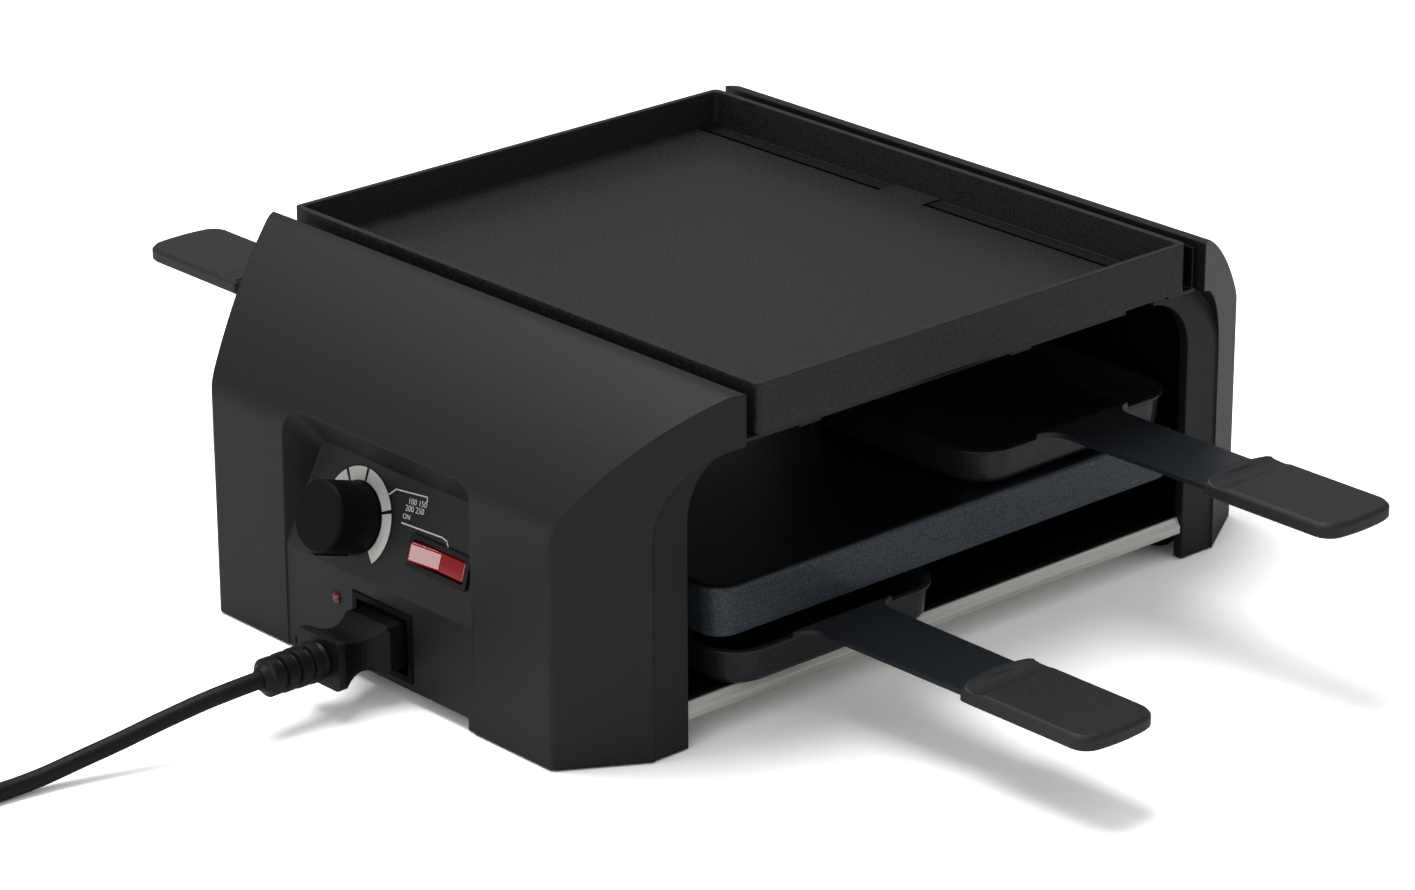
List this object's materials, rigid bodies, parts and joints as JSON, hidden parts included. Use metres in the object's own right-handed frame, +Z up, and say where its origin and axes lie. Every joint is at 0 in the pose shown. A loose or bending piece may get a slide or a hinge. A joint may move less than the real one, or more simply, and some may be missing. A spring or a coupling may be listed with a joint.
{
  "type": "tabletop pizza and raclette grill",
  "caption": "Tabletop pizza grill with moulded end housings, a lift-off cast plate, heated shelf, long-handled pans and a detachable lead.",
  "frame": {"origin": "middle of the footprint of the appliance with its pans and knob, without the lead, on the table", "axes": "+X from the control housing to the plain housing, -Y towards the front pans, +Z up"},
  "size_m": [0.6798, 0.6014, 0.1537],
  "materials": {
    "housing_plastic": "fine moulded satin, dark green-grey",
    "grip_plastic": "fine moulded matt, anthracite",
    "black_plastic": "matt black",
    "foot_rubber": "matt",
    "bright_steel": "bright rolled",
    "plain_steel": "plain sheet",
    "dark_enamel": "gloss enamel",
    "shelf_enamel": "speckled satin enamel",
    "pan_enamel": "satin non-stick enamel",
    "plate_coating": "cast, dark satin non-stick coating",
    "element_steel": "dulled by heat",
    "switch_red": "gloss, lit from inside",
    "lens_red": "clear red",
    "lamp_glass": "small glow lamp",
    "contact_brass": "nickelled, polished",
    "terminal_white": "white",
    "wire_sleeve": "glass-fibre sleeve",
    "lead_rubber": "matt black sheath",
    "plug_plastic": "moulded black"
  },
  "bodies": {
    "housing": {"control_housing": "housing_plastic", "plain_housing": "housing_plastic", "control_base_cover": "black_plastic", "plain_base_cover": "black_plastic", "rubber_feet": "foot_rubber", "base_screws": "plain_steel", "control_liner": "dark_enamel", "plain_liner": "dark_enamel", "plate_frame": "dark_enamel", "upper_element": "element_steel", "element_hangers": "dark_enamel", "shelf_cover": "shelf_enamel", "shelf_base": "dark_enamel", "shelf_element": "element_steel", "shelf_brackets": "plain_steel", "lower_deck": "dark_enamel", "steel_tray": "bright_steel", "thermostat_body": "plain_steel", "switch_frame": "black_plastic", "pilot_lens": "lens_red", "pilot_lamp": "lamp_glass", "inlet_body": "black_plastic", "inlet_pins": "contact_brass", "terminal_block": "terminal_white", "thermal_fuse": "plain_steel", "inner_wires": "wire_sleeve"},
    "plate": {"grill_plate": "plate_coating"},
    "low_front": {"low_front_pan": "pan_enamel", "low_front_grip": "grip_plastic"},
    "up_front": {"up_front_pan": "pan_enamel", "up_front_grip": "grip_plastic"},
    "up_rear": {"up_rear_pan": "pan_enamel", "up_rear_grip": "grip_plastic"},
    "low_rear": {"low_rear_pan": "pan_enamel", "low_rear_grip": "grip_plastic"},
    "knob": {"control_knob": "black_plastic", "thermostat_shaft": "plain_steel"},
    "rocker": {"switch_rocker": "switch_red"},
    "lead": {"lead_connector": "plug_plastic", "lead_boot": "plug_plastic", "mains_lead": "lead_rubber", "lead_coil": "lead_rubber", "lead_tail": "lead_rubber", "lead_tie": "lead_rubber", "mains_plug": "plug_plastic", "plug_pins": "contact_brass"}
  },
  "joints": [
    {"name": "plate_lift", "type": "slide", "parent": "housing", "child": "plate", "axis": [0, 0, 1], "range_m": [0, 0.06]},
    {"name": "low_front_slide", "type": "slide", "parent": "housing", "child": "low_front", "axis": [0, -1, 0], "range_m": [0, 0.15]},
    {"name": "up_front_slide", "type": "slide", "parent": "housing", "child": "up_front", "axis": [0, -1, 0], "range_m": [0, 0.15]},
    {"name": "up_rear_slide", "type": "slide", "parent": "housing", "child": "up_rear", "axis": [0, 1, 0], "range_m": [0, 0.15]},
    {"name": "low_rear_slide", "type": "slide", "parent": "housing", "child": "low_rear", "axis": [0, 1, 0], "range_m": [0, 0.15]},
    {"name": "knob_turn", "type": "hinge", "parent": "housing", "child": "knob", "pos_m": [-0.18033, 0.00925, 0.06743], "axis": [0.9563, 0, -0.2924], "range_deg": [0, 270]},
    {"name": "rocker_tilt", "type": "hinge", "parent": "housing", "child": "rocker", "pos_m": [-0.17924, -0.04475, 0.06417], "axis": [0.2924, 0, 0.9563], "range_deg": [0, 12]},
    {"name": "lead_unplug", "type": "slide", "parent": "housing", "child": "lead", "axis": [-1, 0, 0], "range_m": [0, 0.03]}
  ]
}
